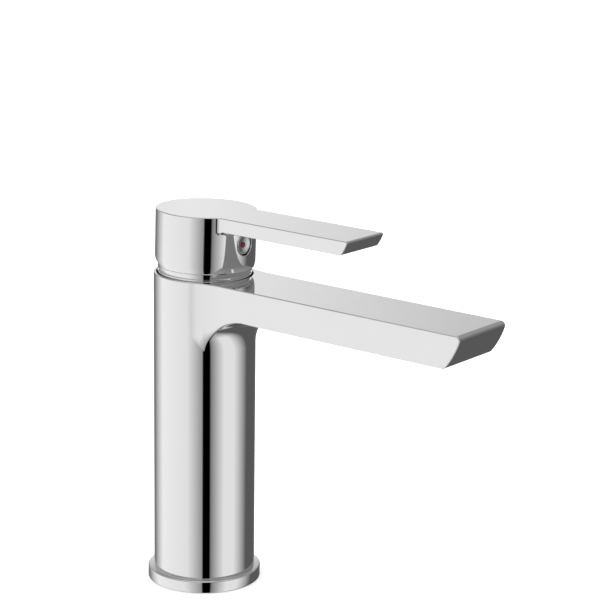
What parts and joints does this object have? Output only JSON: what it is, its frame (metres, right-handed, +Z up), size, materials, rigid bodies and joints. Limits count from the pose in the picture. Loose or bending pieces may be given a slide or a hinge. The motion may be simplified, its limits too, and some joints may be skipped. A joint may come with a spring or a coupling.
{
  "type": "single-lever basin mixer tap",
  "caption": "Chrome single-lever basin mixer tap: round column, flat slightly falling spout, flat lever on a tilting and turning head, ceramic-disc cartridge and recessed aerator inside.",
  "frame": {"origin": "centre of the foot on the deck, on the column's axis", "axes": "+Z up, spout and lever point along -Y, hot side is -X"},
  "size_m": [0.0466, 0.1557, 0.1566],
  "materials": {
    "chrome": "polished",
    "brass": "satin",
    "steel": "satin",
    "dark_steel": "satin",
    "rubber": "matte",
    "light_plastic": "satin",
    "dark_plastic": "satin",
    "insert_plastic": "satin",
    "disc_ceramic": "satin",
    "red_plastic": "gloss",
    "blue_plastic": "gloss"
  },
  "bodies": {
    "tap_body": {"body_casting": "chrome", "base_ring": "chrome", "base_seal": "rubber", "cartridge_base": "light_plastic", "inlet_seals": "rubber", "disc_gasket": "rubber", "fixed_disc": "disc_ceramic", "cartridge_housing": "light_plastic", "housing_seal": "rubber", "cartridge_nut": "brass", "glide_ring": "light_plastic", "aerator_housing": "chrome", "aerator_gasket": "rubber", "aerator_screen": "steel", "aerator_insert": "insert_plastic"},
    "rotor_body": {"rotor": "dark_plastic", "pivot_pin": "steel"},
    "disc_body": {"disc_carrier": "dark_plastic", "moving_disc": "disc_ceramic"},
    "lever": {"lever_stem": "brass", "lever_head": "chrome", "neck_skirt": "chrome", "set_screw": "dark_steel", "index_plug": "chrome", "hot_mark": "red_plastic", "cold_mark": "blue_plastic"}
  },
  "joints": [
    {"name": "lever_turn", "type": "hinge", "parent": "tap_body", "child": "rotor_body", "pos_m": [0, 0, 0.12975], "axis": [0, -0.0253, 0.9997], "range_deg": [-50, 50]},
    {"name": "lever_lift", "type": "hinge", "parent": "rotor_body", "child": "lever", "pos_m": [0, -0.00003, 0.13095], "axis": [-1, 0, 0], "range_deg": [0, 18]},
    {"name": "disc_slide", "type": "slide", "parent": "rotor_body", "child": "disc_body", "axis": [0, -0.9997, -0.0253], "range_m": [0, 0.00295]}
  ],
  "couplings": [
    {"joint": "disc_slide", "follows": "lever_lift", "m_per_rad": 0.0093445}
  ]
}
